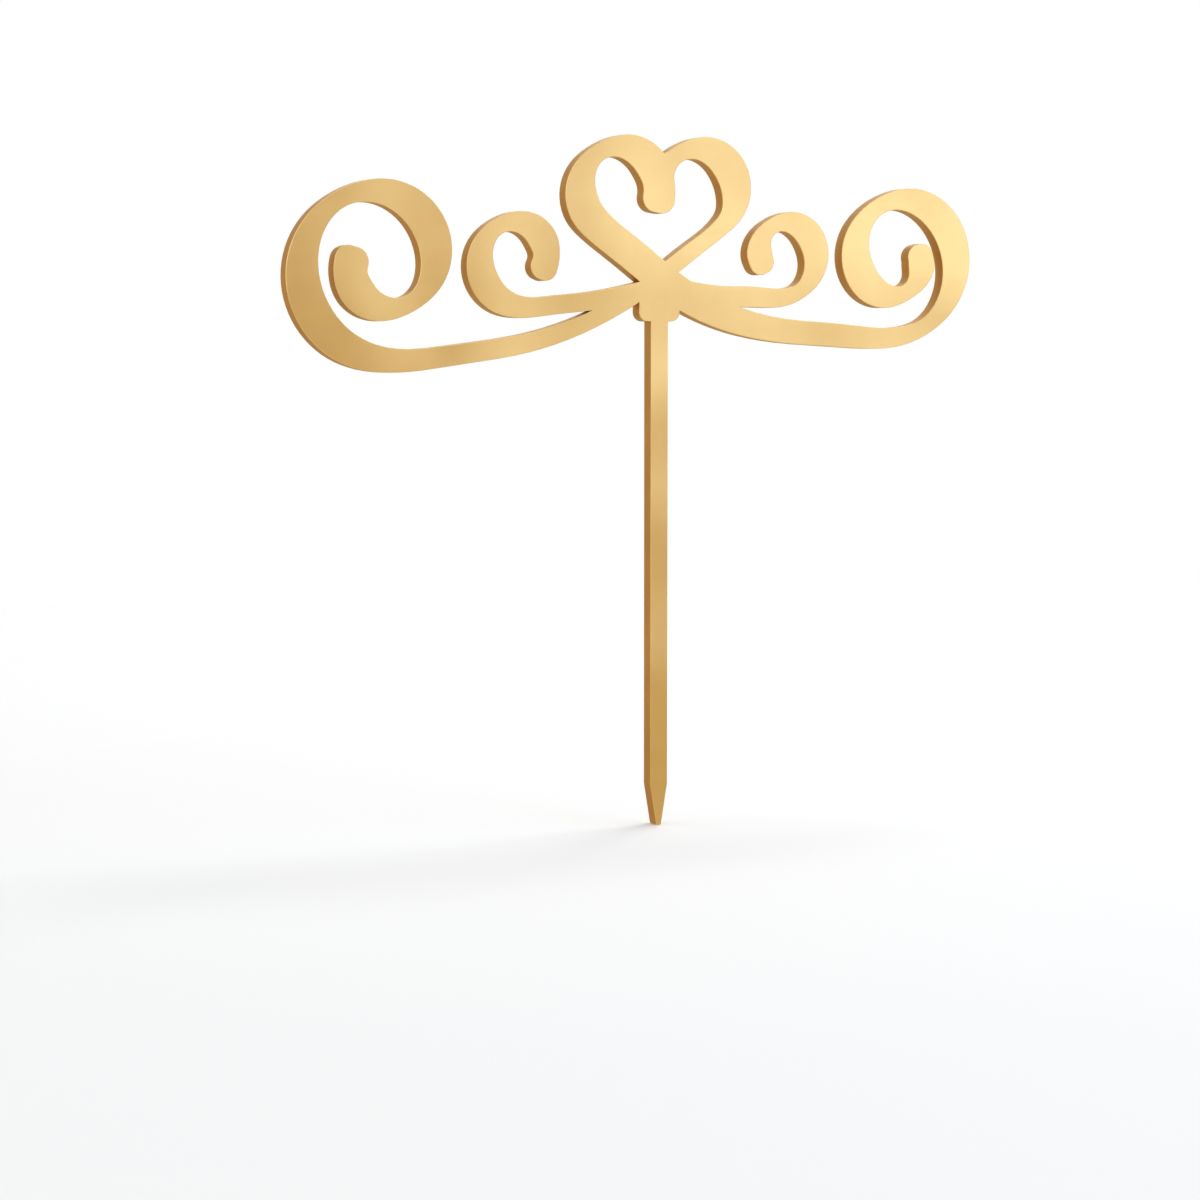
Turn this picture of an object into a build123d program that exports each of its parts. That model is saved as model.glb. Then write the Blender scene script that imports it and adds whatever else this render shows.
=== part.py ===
"""Cake topper: a brush-drawn heart and scrolls on a flat stake, cut from gold-faced acrylic sheet.

The ornament and the stake are two cut-outs of the same three-layer sheet: an amber core with a
gold cap on each face. A jigsaw key on top of the stake is cemented into a socket in the ornament.

Frame: X to the right along the ornament, Y from the front face to the back, Z up the stake.
The origin is on the stake's centre line, at the surface of the cake. All sizes are millimetres.
"""

import math
import os

from build123d import *

# Sheet: an acrylic core with a gold cap on each face
CORE_THICKNESS = 3.0
CAP_THICKNESS = 0.2

# Stake
STAKE_WIDTH = 4.0
STAKE_CLEAR = 63.6  # from the cake's surface up to the ornament's foot
STAKE_DEPTH = 45.0  # pushed down into the cake
TIP_LENGTH = 9.0
TIP_WIDTH = 1.0
TIP_CORNER = 0.35

# Jigsaw key on top of the stake, and the cement round it
KEY_NECK = 2.2
KEY_RADIUS = 1.6
KEY_RISE = 3.4  # from the stake's shoulders up to the middle of the key's round head
CEMENT_GAP = 0.1

# Foot of the ornament, which stands on the stake's shoulders
FOOT_OVERHANG = 2.8  # beyond the stake on each side
FOOT_CORNER = 2.0

# Oval brush: a stroke is thin along the brush and thick across it
BRUSH_ANGLE = 28.0
THIN = 3.6
THICK = 7.7
TENDRIL_THIN = 3.4
TENDRIL_THICK = 6.6
END_CORNER = 3.0  # rounding where a stroke is cut off
END_RUN = 1.1  # how far a cut end runs on past its stroke, in roundings
LARGEST_ROUNDING = 0.45  # as a share of the end that is rounded
JOIN_WIDTH = 3.4  # where a stroke ends inside another one

# Heart, on centre lines: two strokes cross at its point and run side by side in its cleft
CROSSING_RISE = 9.4  # above the foot's underside
HEART_HEIGHT = 27.4
LOBE_RADIUS = 9.2
LOBE_END = 188.0  # how far round its lobe a stroke runs, in degrees

# Scrolls at the two ends, on centre lines
SCROLL_TURNS = 1.24
LEFT_SCROLL_X = 63.2
LEFT_SCROLL_Z = 75.3
LEFT_SCROLL_RADIUS = 19.6
LEFT_SCROLL_EYE = 6.6
RIGHT_SCROLL_X = 58.7
RIGHT_SCROLL_Z = 77.8
RIGHT_SCROLL_RADIUS = 17.2
RIGHT_SCROLL_EYE = 6.0

# Tendrils between the heart and the scrolls, on centre lines
TENDRIL_TURNS = 0.78
TENDRIL_DROP = 1.6  # from the crossing down to where a tendril runs into the foot
TENDRIL_SLOPE = 16.0
LEFT_TENDRIL_X = 32.6
LEFT_TENDRIL_Z = 76.6
LEFT_TENDRIL_RADIUS = 10.0
LEFT_TENDRIL_EYE = 6.0
RIGHT_TENDRIL_X = 30.0
RIGHT_TENDRIL_Z = 78.2
RIGHT_TENDRIL_RADIUS = 9.2
RIGHT_TENDRIL_EYE = 5.6

CURVE_EXIT = 266.0  # where an arm leaves its scroll or tendril, in degrees about the middle
ARM_PULL = 0.36  # how long an arm keeps its first and its last direction, as a share of its span
ARM_POINTS = 4
ROUND_STEP = 24.0  # degrees between two points of a round stretch

SHEET_THICKNESS = CORE_THICKNESS + 2 * CAP_THICKNESS
CROSSING_Z = STAKE_CLEAR + CROSSING_RISE
FOOT_WIDTH = STAKE_WIDTH + 2 * FOOT_OVERHANG


def polar(middle, radius, angle):
    """The point at radius and angle, in degrees, from middle."""
    turn = math.radians(angle)
    return middle + Vector(math.cos(turn), math.sin(turn)) * radius


def angles(first, last):
    """Even angles from first to last, about one round step apart."""
    count = math.ceil((last - first) / ROUND_STEP)
    return [first + (last - first) * i / count for i in range(count + 1)]


def spiral(middle, eye, radius, turns):
    """Points along a spiral, whose radius grows evenly from its eye to where the arm leaves it."""
    first = CURVE_EXIT - 360 * turns
    growth = (radius - eye) / (CURVE_EXIT - first)
    return [polar(middle, eye + growth * (angle - first), angle) for angle in angles(first, CURVE_EXIT)]


def arm(start, end, end_slope):
    """Points along an arm that leaves start level and reaches end with the given slope in degrees."""
    pull = ARM_PULL * (end - start).length
    curve = Bezier(start, start + Vector(pull, 0), polar(end, -pull, end_slope), end)
    return [curve @ (i / ARM_POINTS) for i in range(1, ARM_POINTS + 1)]


def heart_slope():
    """The slope of the heart's straight side, which runs from the crossing to touch the lobe's circle."""
    rise = HEART_HEIGHT - LOBE_RADIUS
    reach = math.hypot(LOBE_RADIUS, rise)
    return math.degrees(math.atan2(rise, LOBE_RADIUS) - math.asin(LOBE_RADIUS / reach))


def heart_side():
    """Points from the crossing up the heart's right side, round its lobe and down into the cleft."""
    middle = Vector(LOBE_RADIUS, CROSSING_Z + HEART_HEIGHT - LOBE_RADIUS)
    lobe = [polar(middle, LOBE_RADIUS, angle) for angle in angles(heart_slope() - 90, LOBE_END)]
    half_way = (Vector(0, CROSSING_Z) + lobe[0]) / 2
    return [half_way] + lobe


def left_stroke(middle, radius, eye):
    """Points of a main stroke, from the eye of a left scroll to the crossing and round the heart."""
    curl = spiral(middle, eye, radius, SCROLL_TURNS)
    return curl + arm(curl[-1], Vector(0, CROSSING_Z), heart_slope()) + heart_side()


def left_tendril(middle, radius, eye):
    """Points of a left tendril, from its eye to where it runs into the foot."""
    curl = spiral(middle, eye, radius, TENDRIL_TURNS)
    return curl + arm(curl[-1], Vector(0, CROSSING_Z - TENDRIL_DROP), TENDRIL_SLOPE)


def mirrored(points):
    """The same points on the other side of the stake."""
    return [Vector(-point.X, point.Y) for point in points]


def brush_stroke(points, thin, thick, end_width=None):
    """The face of one stroke through points, as wide at each as an oval brush is across its direction.

    Both ends are cut off with rounded corners, or the last one narrows to end_width inside another stroke.
    """
    line = Spline(*points)
    directions = [line.tangent_at(point) for point in points]
    turns = [math.atan2(along.Y, along.X) - math.radians(BRUSH_ANGLE) for along in directions]
    widths = [math.hypot(thick * math.sin(turn), thin * math.cos(turn)) for turn in turns]
    widths[0] = widths[1]
    widths[-1] = end_width or widths[-2]
    across = [Vector(-along.Y, along.X) * (width / 2) for along, width in zip(directions, widths)]
    left = [point + reach for point, reach in zip(points, across)]
    right = [point - reach for point, reach in zip(points, across)]
    edges = [Spline(*left), Spline(*right)]
    edges += cut_end(right[0], left[0], -(line % 0))
    if end_width:
        edges += [Line(left[-1], right[-1])]
    else:
        edges += cut_end(left[-1], right[-1], line % 1)
    return make_face(edges)


def cut_end(corner, other_corner, outward):
    """The edges that close a stroke square across, with both corners rounded."""
    radius = min(END_CORNER, LARGEST_ROUNDING * (other_corner - corner).length)
    run = outward * (END_RUN * radius)
    return FilletPolyline(corner, corner + run, other_corner + run, other_corner, radius=radius).edges()


def foot():
    """The short stem below the crossing, which hides its top, with rounded lower corners."""
    height = CROSSING_RISE - THIN / 2
    outline = Pos(0, STAKE_CLEAR + height / 2) * Rectangle(FOOT_WIDTH, height)
    return fillet(outline.vertices().group_by(Axis.Y)[0], FOOT_CORNER)


def key(clearance):
    """The key's outline grown by clearance: a straight neck from the shoulders up to a round head."""
    neck = Pos(0, STAKE_CLEAR + KEY_RISE / 2) * Rectangle(KEY_NECK + 2 * clearance, KEY_RISE)
    head = Pos(0, STAKE_CLEAR + KEY_RISE) * Circle(KEY_RADIUS + clearance)
    return neck + head


def ornament_face():
    """The heart, scrolls, tendrils and foot as one cut-out, with the socket for the key."""
    left_scroll = Vector(-LEFT_SCROLL_X, LEFT_SCROLL_Z)
    right_scroll = Vector(-RIGHT_SCROLL_X, RIGHT_SCROLL_Z)
    rising = left_stroke(left_scroll, LEFT_SCROLL_RADIUS, LEFT_SCROLL_EYE)
    falling = mirrored(left_stroke(right_scroll, RIGHT_SCROLL_RADIUS, RIGHT_SCROLL_EYE))
    left_curl = Vector(-LEFT_TENDRIL_X, LEFT_TENDRIL_Z)
    right_curl = Vector(-RIGHT_TENDRIL_X, RIGHT_TENDRIL_Z)
    tendrils = [
        left_tendril(left_curl, LEFT_TENDRIL_RADIUS, LEFT_TENDRIL_EYE),
        mirrored(left_tendril(right_curl, RIGHT_TENDRIL_RADIUS, RIGHT_TENDRIL_EYE)),
    ]
    face = brush_stroke(falling, THIN, THICK) + foot()
    face += brush_stroke(rising, THIN, THICK, JOIN_WIDTH)
    for tendril in tendrils:
        face += brush_stroke(tendril, TENDRIL_THIN, TENDRIL_THICK, JOIN_WIDTH)
    return face - key(CEMENT_GAP)


def stake_face():
    """The flat stake with its pointed tip below and its key above."""
    blade = make_face(
        Polyline(
            (-STAKE_WIDTH / 2, STAKE_CLEAR),
            (-STAKE_WIDTH / 2, TIP_LENGTH - STAKE_DEPTH),
            (-TIP_WIDTH / 2, -STAKE_DEPTH),
            (TIP_WIDTH / 2, -STAKE_DEPTH),
            (STAKE_WIDTH / 2, TIP_LENGTH - STAKE_DEPTH),
            (STAKE_WIDTH / 2, STAKE_CLEAR),
            close=True,
        )
    )
    blade = fillet(blade.vertices().group_by(Axis.Y)[0], min(TIP_CORNER, LARGEST_ROUNDING * TIP_WIDTH))
    return blade + key(0)


def layer(face, back_y, thickness):
    """A cut-out of face, thickness deep, from its back at back_y towards the front."""
    return extrude(Plane.XZ.offset(-back_y) * face, amount=thickness)


def laminate(name, face):
    """The three layers of one cut-out: the core with a gold cap behind it and another before it."""
    return {
        f"{name}_back_cap": layer(face, SHEET_THICKNESS / 2, CAP_THICKNESS),
        f"{name}_core": layer(face, CORE_THICKNESS / 2, CORE_THICKNESS),
        f"{name}_front_cap": layer(face, -CORE_THICKNESS / 2, CAP_THICKNESS),
    }


def cement():
    """The film of cement that fills the gap between the key and its socket."""
    return layer(key(CEMENT_GAP) - key(0), SHEET_THICKNESS / 2, SHEET_THICKNESS)


def main():
    pieces = laminate("ornament", ornament_face())
    pieces |= laminate("stake", stake_face())
    pieces["joint_cement"] = cement()
    os.makedirs("parts", exist_ok=True)
    for name, piece in pieces.items():
        piece.label = name
        export_step(piece, f"parts/{name}.step")


main()
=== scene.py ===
"""Cake topper of gold-faced acrylic sheet: finishes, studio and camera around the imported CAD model.

Frame and units are the CAD model's: X to the right, Y to the back, Z up, in metres.
"""

import math

import bpy
import numpy as np
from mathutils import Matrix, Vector


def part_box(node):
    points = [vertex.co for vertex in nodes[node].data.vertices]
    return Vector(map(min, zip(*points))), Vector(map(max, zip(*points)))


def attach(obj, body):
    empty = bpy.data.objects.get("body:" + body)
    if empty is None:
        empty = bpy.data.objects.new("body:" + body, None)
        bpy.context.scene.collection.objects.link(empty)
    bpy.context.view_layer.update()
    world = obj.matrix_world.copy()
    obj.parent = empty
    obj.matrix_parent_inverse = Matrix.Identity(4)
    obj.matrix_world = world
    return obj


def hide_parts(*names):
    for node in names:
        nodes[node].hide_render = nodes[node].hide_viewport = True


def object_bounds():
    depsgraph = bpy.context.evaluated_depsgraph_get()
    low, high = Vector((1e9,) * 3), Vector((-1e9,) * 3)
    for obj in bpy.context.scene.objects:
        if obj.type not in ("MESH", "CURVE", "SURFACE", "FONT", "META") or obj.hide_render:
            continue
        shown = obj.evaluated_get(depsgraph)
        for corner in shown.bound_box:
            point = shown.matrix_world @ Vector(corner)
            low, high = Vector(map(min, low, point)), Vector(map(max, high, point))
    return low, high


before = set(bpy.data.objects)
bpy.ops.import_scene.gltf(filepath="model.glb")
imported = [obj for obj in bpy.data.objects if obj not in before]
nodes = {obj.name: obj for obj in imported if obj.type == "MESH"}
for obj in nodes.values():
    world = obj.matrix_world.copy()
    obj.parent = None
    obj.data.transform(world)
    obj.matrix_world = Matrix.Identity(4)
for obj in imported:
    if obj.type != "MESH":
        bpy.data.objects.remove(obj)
cad_low, cad_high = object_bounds()

# Cut edges of the sheet
# The two cores are amber acrylic, cut out by a laser. The beam leaves fine flutes from the front to the back
# of the cut, and the edge is gilded with the faces but is rougher. Its gold is painted darker than the
# faces':
# painted shade of the sides that face away from the light.

NOISE_SPAN = (0.3, 0.7)
FULL_SPAN = (0.0, 1.0)
STREAK_DETAIL = 3.0
PATCH_DETAIL = 2.0

# Places of a Mix node's colour sockets, whose names its other sockets share
MIX_FIRST, MIX_LAST, MIX_RESULT = 6, 7, 2


def streak_group():
    """Streaks and Mottle, each from 0 to 1: noise drawn out along the axis with the fewest lines per metre,
    and soft patches of a given number per metre, both on the place of the point in the sheet."""
    group = bpy.data.node_groups.new("drawn streaks", "ShaderNodeTree")
    group.interface.new_socket("Place", in_out="INPUT", socket_type="NodeSocketVector")
    group.interface.new_socket("Lines", in_out="INPUT", socket_type="NodeSocketVector")
    group.interface.new_socket("Patches", in_out="INPUT", socket_type="NodeSocketFloat")
    group.interface.new_socket("Streaks", in_out="OUTPUT", socket_type="NodeSocketFloat")
    group.interface.new_socket("Mottle", in_out="OUTPUT", socket_type="NodeSocketFloat")
    given = group.nodes.new("NodeGroupInput")
    result = group.nodes.new("NodeGroupOutput")
    for output, count, detail in (("Streaks", "Lines", STREAK_DETAIL), ("Mottle", "Patches", PATCH_DETAIL)):
        spread = group.nodes.new("ShaderNodeVectorMath")
        spread.operation = "MULTIPLY"
        noise = group.nodes.new("ShaderNodeTexNoise")
        noise.inputs["Scale"].default_value = 1.0
        noise.inputs["Detail"].default_value = detail
        group.links.new(given.outputs["Place"], spread.inputs[0])
        group.links.new(given.outputs[count], spread.inputs[1])
        group.links.new(spread.outputs["Vector"], noise.inputs["Vector"])
        group.links.new(noise.outputs["Fac"], result.inputs[output])
    return group


streaks = streak_group()


def ramped(tree, value, span, reach):
    """value carried from the range span onto the range reach."""
    carried = tree.nodes.new("ShaderNodeMapRange")
    for socket, limit in zip(("From Min", "From Max", "To Min", "To Max"), (*span, *reach)):
        carried.inputs[socket].default_value = limit
    tree.links.new(value, carried.inputs["Value"])
    return carried.outputs["Result"]


def colour_mix(tree, share):
    """The node that mixes two colours, the first where share is 0 and the last where it is 1."""
    mix = tree.nodes.new("ShaderNodeMix")
    mix.data_type = "RGBA"
    tree.links.new(share, mix.inputs["Factor"])
    return mix


def bumped(tree, height, distance):
    """The node for the normal of a surface that height, from 0 to 1, raises by up to distance."""
    bump = tree.nodes.new("ShaderNodeBump")
    bump.inputs["Distance"].default_value = distance
    tree.links.new(height, bump.inputs["Height"])
    return bump


def drawn_metal(name, shades, roughness, metallic, lines, patches, relief):
    """A metal that goes from one shade to the other between patches, and whose streaks run from the smoothest
    to the roughest value of roughness and stand out by relief."""
    material = bpy.data.materials.new(name)
    material.use_nodes = True
    tree = material.node_tree
    shader = tree.nodes["Principled BSDF"]
    shader.inputs["Metallic"].default_value = metallic
    place = tree.nodes.new("ShaderNodeTexCoord")
    drawn = tree.nodes.new("ShaderNodeGroup")
    drawn.node_tree = streaks
    drawn.inputs["Lines"].default_value = lines
    drawn.inputs["Patches"].default_value = patches
    tree.links.new(place.outputs["Object"], drawn.inputs["Place"])
    tone = colour_mix(tree, ramped(tree, drawn.outputs["Mottle"], NOISE_SPAN, FULL_SPAN))
    tone.inputs[MIX_FIRST].default_value = (*shades[0], 1.0)
    tone.inputs[MIX_LAST].default_value = (*shades[1], 1.0)
    tree.links.new(tone.outputs[MIX_RESULT], shader.inputs["Base Color"])
    tree.links.new(ramped(tree, drawn.outputs["Streaks"], NOISE_SPAN, roughness), shader.inputs["Roughness"])
    grain = bumped(tree, drawn.outputs["Streaks"], relief)
    grain.name = "streak relief"
    tree.links.new(grain.outputs["Normal"], shader.inputs["Normal"])
    return material


def dress(material, *names):
    """Puts the material on the CAD nodes of these names."""
    for name in names:
        slots = nodes[name].data.materials
        slots.clear()
        slots.append(material)


edge = drawn_metal(
    "laser-cut gold edge with painted shade",
    # shades: the gold painted darker than the faces', painted shade of the sides turned from the light
    shades=((0.52, 0.283, 0.092), (0.60, 0.33, 0.110)),
    roughness=(0.36, 0.52),
    metallic=0.9,
    lines=(2600.0, 60.0, 2600.0),
    patches=90.0,
    relief=0.00002,
)
dress(edge, "ornament_core", "stake_core")

# Gold caps
# The faces of the sheet are thin satin-gold film under a clear lacquer, brushed from side to side by
# the rolls. The film lies on sheet that is not quite flat, which makes broad soft lights and shades.

LACQUER = 0.15
LACQUER_ROUGHNESS = 0.22
WAVES_PER_METRE = 38.0
WAVE_HEIGHT = 0.00125
WAVE_SHIFT = (0.074, 0.0, 0.025)

gold = drawn_metal(
    "satin gold film",
    shades=((0.94, 0.725, 0.345), (0.97, 0.76, 0.375)),
    roughness=(0.32, 0.36),
    metallic=1.0,
    lines=(45.0, 900.0, 3600.0),
    patches=160.0,
    relief=0.000003,
)
tree = gold.node_tree
shader = tree.nodes["Principled BSDF"]
shader.inputs["Coat Weight"].default_value = LACQUER
shader.inputs["Coat Roughness"].default_value = LACQUER_ROUGHNESS
place = tree.nodes.new("ShaderNodeTexCoord")
shifted = tree.nodes.new("ShaderNodeMapping")
shifted.inputs["Location"].default_value = WAVE_SHIFT
tree.links.new(place.outputs["Object"], shifted.inputs["Vector"])
waves = tree.nodes.new("ShaderNodeTexNoise")
waves.inputs["Scale"].default_value = WAVES_PER_METRE
waves.inputs["Detail"].default_value = 0.0
tree.links.new(shifted.outputs["Vector"], waves.inputs["Vector"])
sag = bumped(tree, waves.outputs["Fac"], WAVE_HEIGHT)
tree.links.new(sag.outputs["Normal"], tree.nodes["streak relief"].inputs["Normal"])

EASE = 0.00009
JOINT_EASE = 0.000005
EASE_STEPS = 3
LEAST_SPREAD = 0.5
SHARP_CORNER = math.radians(40.0)
SAME_POINT_DECIMALS = 7
SAME_PLANE = 0.000001
JOINT_MARGIN = np.array([0.0004, 0.0001])
joint_low, joint_high = (np.array(corner)[[0, 2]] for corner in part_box("joint_cement"))


def eased_film(name, node, outside, inside):
    """A cap from its outer face at y = outside to its inner face at y = inside, its outer edge rounded over.

    At turn t, from 0 to 90 degrees, the edge lies ease (1 - sin t) in from the cut wall and ease (1 - cos t)
    below the outer face. The ease is next to nothing at the glued joint, which is wiped flush.
    """
    cap = nodes[node].data
    loose = np.empty((len(cap.vertices), 3), dtype=np.float32)
    cap.vertices.foreach_get("co", loose.ravel())
    corners = np.empty(len(cap.loops), dtype=np.int32)
    cap.loops.foreach_get("vertex_index", corners)
    points, merged = np.unique(loose.round(SAME_POINT_DECIMALS), axis=0, return_inverse=True)
    triangles = merged.ravel()[corners].reshape(-1, 3)
    on_face = np.isclose(points[triangles, 1], outside, atol=SAME_PLANE).all(axis=1)
    used, face = np.unique(triangles[on_face], return_inverse=True)
    face = face.reshape(-1, 3)
    flat = points[used][:, [0, 2]].astype(float)

    # Outline: the sides that only one triangle has, each with its direction into the face
    start, end = face.ravel(), np.roll(face, -1, axis=1).ravel()
    lone = ~np.isin(start * len(flat) + end, end * len(flat) + start)
    start, end = start[lone], end[lone]
    along = flat[end] - flat[start]
    along /= np.linalg.norm(along, axis=1, keepdims=True)
    inward = np.sign(outside) * np.stack([along[:, 1], -along[:, 0]], axis=1)
    before, after = np.zeros_like(flat), np.zeros_like(flat)
    before[end] = inward
    after[start] = inward
    spread = np.maximum(1.0 + (before * after).sum(axis=1, keepdims=True), LEAST_SPREAD)
    glued = ((flat > joint_low - JOINT_MARGIN) & (flat < joint_high + JOINT_MARGIN)).all(axis=1)
    ease = np.where(glued, JOINT_EASE, EASE)[:, None]
    reach = ease * (before + after) / spread

    # Outer face, rings down the rounded edge, then the inner face
    turn = np.linspace(0.0, np.pi / 2, EASE_STEPS + 1)[1:, None, None]
    rings = flat[start] + reach[start] * (1.0 - np.sin(turn))
    ring_depth = outside - np.sign(outside) * ease[start] * (1.0 - np.cos(turn))
    across = np.vstack([flat + reach, rings.reshape(-1, 2), flat])
    depth = np.concatenate([np.full(len(flat), outside), ring_depth.ravel(), np.full(len(flat), inside)])
    body = np.stack([across[:, 0], depth, across[:, 1]], axis=1)
    edge_count = len(start)
    first = len(flat) + np.arange(EASE_STEPS * edge_count).reshape(EASE_STEPS, edge_count)
    levels = np.vstack([start, first, len(body) - len(flat) + start])
    edge_from = np.empty(len(flat), dtype=int)
    edge_from[start] = np.arange(edge_count)
    following = levels[:, edge_from[end]]
    sides = np.stack([following[:-1], levels[:-1], levels[1:], following[1:]], axis=-1).reshape(-1, 4)
    bottom = face[:, ::-1] + len(body) - len(flat)

    mesh = bpy.data.meshes.new(name)
    mesh.from_pydata(body.tolist(), [], face.tolist() + sides.tolist() + bottom.tolist())
    mesh.set_sharp_from_angle(angle=SHARP_CORNER)
    rounded = np.repeat([False, True, False], [len(face), len(sides), len(bottom)])
    mesh.polygons.foreach_set("use_smooth", rounded)
    mesh.materials.append(gold)
    film = bpy.data.objects.new(name, mesh)
    bpy.context.scene.collection.objects.link(film)
    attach(film, "root")
    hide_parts(node)


for piece in ("ornament", "stake"):
    for side in ("front", "back"):
        low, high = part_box(f"{piece}_{side}_cap")
        outside, inside = (low[1], high[1]) if side == "front" else (high[1], low[1])
        eased_film(f"{piece}_{side}_film", f"{piece}_{side}_cap", outside, inside)

# Cement in the joint
# A film of clear acrylic cement fills the gap round the stake's key. It is tinted to the gold,
# wiped flush while wet, and shows as a hairline.

cement = drawn_metal(
    "tinted clear cement",
    shades=((0.91, 0.67, 0.31), (0.96, 0.72, 0.35)),
    roughness=(0.30, 0.42),
    metallic=0.95,
    lines=(900.0, 900.0, 900.0),
    patches=300.0,
    relief=0.00001,
)
cement.node_tree.nodes["Principled BSDF"].inputs["Coat Weight"].default_value = LACQUER
dress(cement, "joint_cement")

# Floor
# The topper stands on the point of its stake on plain white card.
# Away from the stake the card fades into the white behind it, so that no edge shows.

FLOOR_RADIUS = 0.9
FLOOR_RINGS = 24
FLOOR_SPOKES = 96
FADE_SPAN = (0.2, 0.75)
SOLID_TO_CLEAR = (1.0, 0.0)


def disc(radius, height):
    """A flat disc: at ring u and spoke v, from 0 to 1, the point u times radius out at 360 v degrees."""
    out = np.linspace(0.0, 1.0, FLOOR_RINGS + 1)[1:, None] * radius
    turn = np.linspace(0.0, 2 * np.pi, FLOOR_SPOKES, endpoint=False)[None, :]
    rings = np.stack([out * np.cos(turn), out * np.sin(turn)], axis=-1).reshape(-1, 2)
    flat = np.vstack([[[0.0, 0.0]], rings])
    points = np.column_stack([flat, np.full(len(flat), height)])
    ring, spoke = np.meshgrid(np.arange(FLOOR_RINGS - 1), np.arange(FLOOR_SPOKES), indexing="ij")
    beside = (spoke + 1) % FLOOR_SPOKES
    inner = 1 + ring * FLOOR_SPOKES
    outer = inner + FLOOR_SPOKES
    quads = np.stack([inner + spoke, outer + spoke, outer + beside, inner + beside], axis=-1).reshape(-1, 4)
    first = np.arange(FLOOR_SPOKES)
    hub = np.stack([np.zeros_like(first), 1 + first, 1 + (first + 1) % FLOOR_SPOKES], axis=-1)
    mesh = bpy.data.meshes.new("floor")
    mesh.from_pydata(points.tolist(), [], quads.tolist() + hub.tolist())
    return mesh


floor = bpy.data.objects.new("floor", disc(FLOOR_RADIUS, cad_low.z))
bpy.context.scene.collection.objects.link(floor)
card = bpy.data.materials.new("white card")
card.use_nodes = True
tree = card.node_tree
shader = tree.nodes["Principled BSDF"]
shader.inputs["Base Color"].default_value = (0.93, 0.93, 0.93, 1.0)
shader.inputs["Roughness"].default_value = 0.85
shader.inputs["Specular IOR Level"].default_value = 0.1
place = tree.nodes.new("ShaderNodeTexCoord")
away = tree.nodes.new("ShaderNodeVectorMath")
away.operation = "LENGTH"
tree.links.new(place.outputs["Object"], away.inputs[0])
tree.links.new(ramped(tree, away.outputs["Value"], FADE_SPAN, SOLID_TO_CLEAR), shader.inputs["Alpha"])
floor.data.materials.append(card)
floor.visible_glossy = False

# Studio light
# A large soft light stands to the right of the camera, and three more show in the metal from the other sides.
# One above casts the shadow on the floor. The room that the metal mirrors has warm walls, darker in front
# than behind, and a pale floor and ceiling. To the camera it is plain white.

ORNAMENT_MIDDLE = Vector((0.0, 0.0, 0.08))
WHITE = (1.0, 1.0, 1.0)


def soft_light(name, place, width, height, power, tint=WHITE, gloss=True, matt=True):
    """A rectangular soft light at place, turned to the ornament, for glossy surfaces, matt ones or both."""
    data = bpy.data.lights.new(name, "AREA")
    data.shape = "RECTANGLE"
    data.size = width
    data.size_y = height
    data.energy = power
    data.color = tint
    light = bpy.data.objects.new(name, data)
    bpy.context.scene.collection.objects.link(light)
    light.location = place
    light.rotation_mode = "QUATERNION"
    light.rotation_quaternion = (ORNAMENT_MIDDLE - light.location).to_track_quat("-Z", "Y")
    light.visible_camera = False
    light.visible_glossy = gloss
    light.visible_diffuse = matt


soft_light(
    "key light", place=(0.60, -0.65, 0.37), width=0.75, height=0.8, power=2.05, tint=(0.88, 1.0, 1.16)
)
soft_light(
    "left front light", place=(-0.48, -0.735, 0.25), width=0.8, height=0.7, power=1.75, matt=False
)
soft_light("right back light", place=(0.52, 0.80, 0.26), width=1.0, height=0.7, power=2.1)
soft_light("left back light", place=(-0.95, 0.3, 0.25), width=0.7, height=0.7, power=1.5)
soft_light("top light", place=(0.4, 0.2, 0.9), width=0.35, height=0.35, power=3.0, gloss=False)

PALE_FLOOR = (0.80, 0.72, 0.56)
PALE_CEILING = (0.80, 0.76, 0.66)
FLOOR_RISE, LOW_RISE, LEVEL_RISE, CEILING_RISE = 0.08, 0.33, 0.5, 0.9
DOWN_TO_UP = (-1.0, 1.0)
FRONT_TO_BACK = (-0.3, 0.3)
MATT_FILL = 0.68

world = bpy.data.worlds.new("studio")
bpy.context.scene.world = world
world.use_nodes = True
tree = world.node_tree
toward = tree.nodes.new("ShaderNodeTexCoord")
ray = tree.nodes.new("ShaderNodeSeparateXYZ")
tree.links.new(toward.outputs["Generated"], ray.inputs["Vector"])
rise = ramped(tree, ray.outputs["Z"], DOWN_TO_UP, FULL_SPAN)
behind = ramped(tree, ray.outputs["Y"], FRONT_TO_BACK, FULL_SPAN)


def wall(low, level):
    """The colours of one half of the room: pale floor, the wall from low to level, and pale ceiling."""
    shade = tree.nodes.new("ShaderNodeValToRGB")
    steps = shade.color_ramp.elements
    steps[0].position, steps[0].color = FLOOR_RISE, (*PALE_FLOOR, 1.0)
    steps[1].position, steps[1].color = CEILING_RISE, (*PALE_CEILING, 1.0)
    steps.new(LOW_RISE).color = (*low, 1.0)
    steps.new(LEVEL_RISE).color = (*level, 1.0)
    tree.links.new(rise, shade.inputs["Fac"])
    return shade.outputs["Color"]


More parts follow.
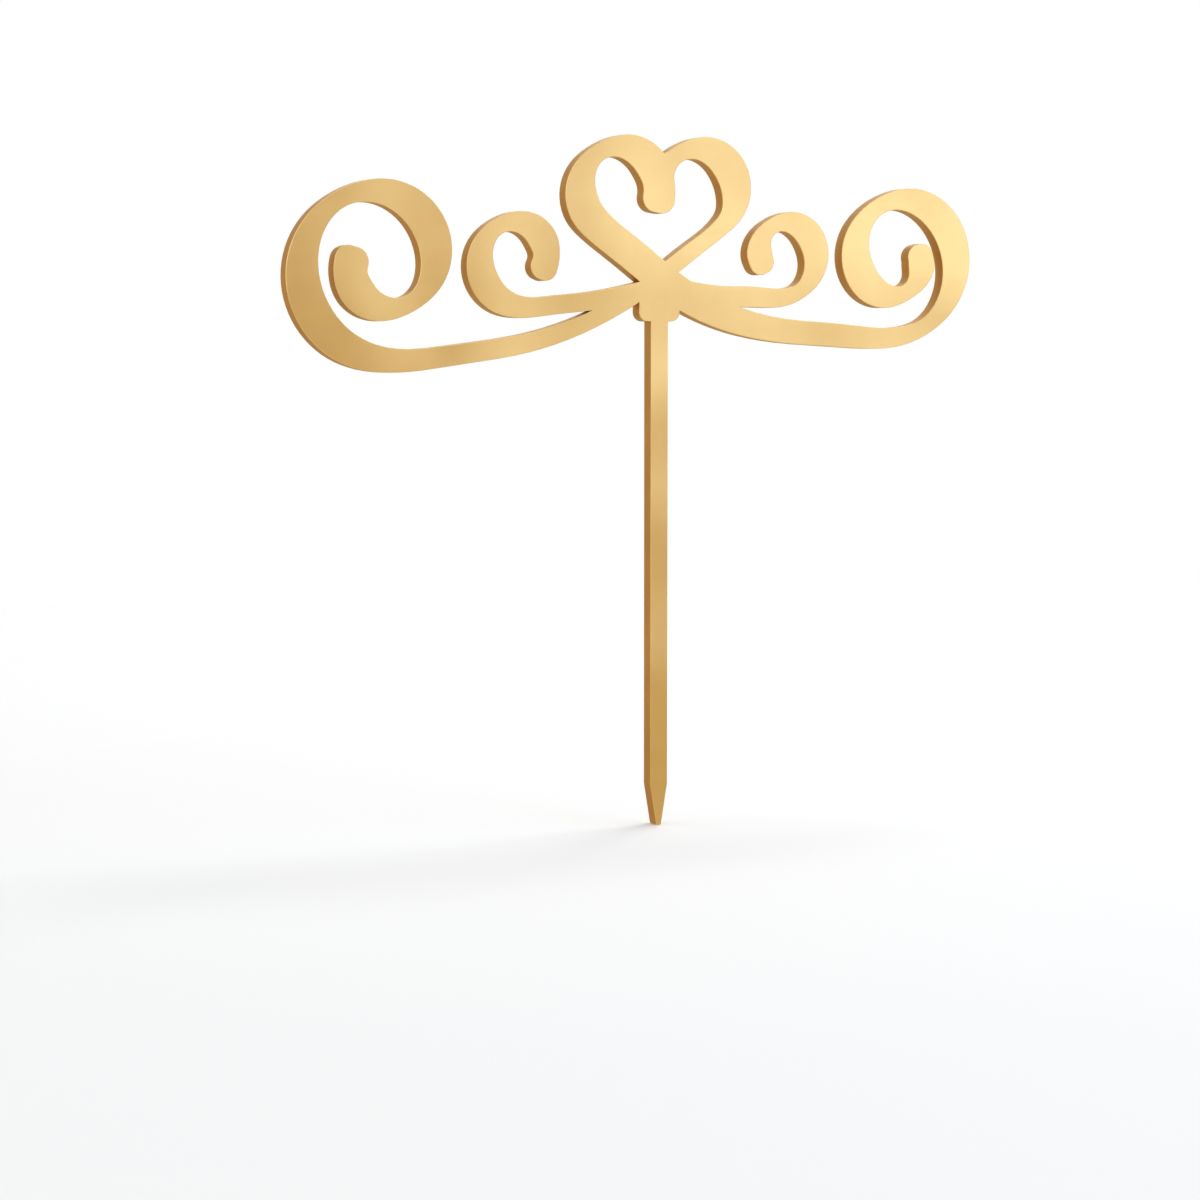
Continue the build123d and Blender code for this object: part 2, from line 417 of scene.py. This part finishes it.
walls = colour_mix(tree, behind)
tree.links.new(wall(low=(0.62, 0.48, 0.23), level=(0.36, 0.184, 0.010)), walls.inputs[MIX_FIRST])
tree.links.new(wall(low=(0.64, 0.50, 0.28), level=(0.62, 0.48, 0.275)), walls.inputs[MIX_LAST])
room = tree.nodes.new("ShaderNodeBackground")
tree.links.new(walls.outputs[MIX_RESULT], room.inputs["Color"])
fill = tree.nodes.new("ShaderNodeBackground")
fill.inputs["Color"].default_value = (*WHITE, 1.0)
fill.inputs["Strength"].default_value = MATT_FILL
sky = tree.nodes["Background"]
sky.inputs["Color"].default_value = (*WHITE, 1.0)
sky.inputs["Strength"].default_value = 1.0
rays = tree.nodes.new("ShaderNodeLightPath")
shiny = tree.nodes.new("ShaderNodeMixShader")
tree.links.new(rays.outputs["Is Glossy Ray"], shiny.inputs[0])
tree.links.new(fill.outputs["Background"], shiny.inputs[1])
tree.links.new(room.outputs["Background"], shiny.inputs[2])
seen = tree.nodes.new("ShaderNodeMixShader")
tree.links.new(rays.outputs["Is Camera Ray"], seen.inputs[0])
tree.links.new(shiny.outputs["Shader"], seen.inputs[1])
tree.links.new(sky.outputs["Background"], seen.inputs[2])
tree.links.new(seen.outputs["Shader"], tree.nodes["World Output"].inputs["Surface"])
bpy.context.scene.view_settings.view_transform = "Standard"

# Camera
# A long lens about level with the lowest curves of the ornament, tilted a little down.
# It stands 25 degrees round to the left of the front, so the left sides of the strokes show.

VIEW_TURN = math.radians(25.0)
VIEW_PITCH = math.radians(4.7)
VIEW_DISTANCE = 0.645
VIEW_ASIDE = 0.0120
VIEW_HEIGHT = 0.0568
camera = bpy.data.objects.new("camera", bpy.data.cameras.new("camera"))
bpy.context.scene.collection.objects.link(camera)
camera.data.lens = 90.0
camera.data.sensor_width = 36.0
camera.data.clip_start = 0.01
camera.location = (
    -VIEW_DISTANCE * math.sin(VIEW_TURN) - VIEW_ASIDE * math.cos(VIEW_TURN),
    -VIEW_DISTANCE * math.cos(VIEW_TURN) + VIEW_ASIDE * math.sin(VIEW_TURN),
    VIEW_HEIGHT,
)
camera.rotation_euler = (math.pi / 2 - VIEW_PITCH, 0.0, -VIEW_TURN)
bpy.context.scene.camera = camera
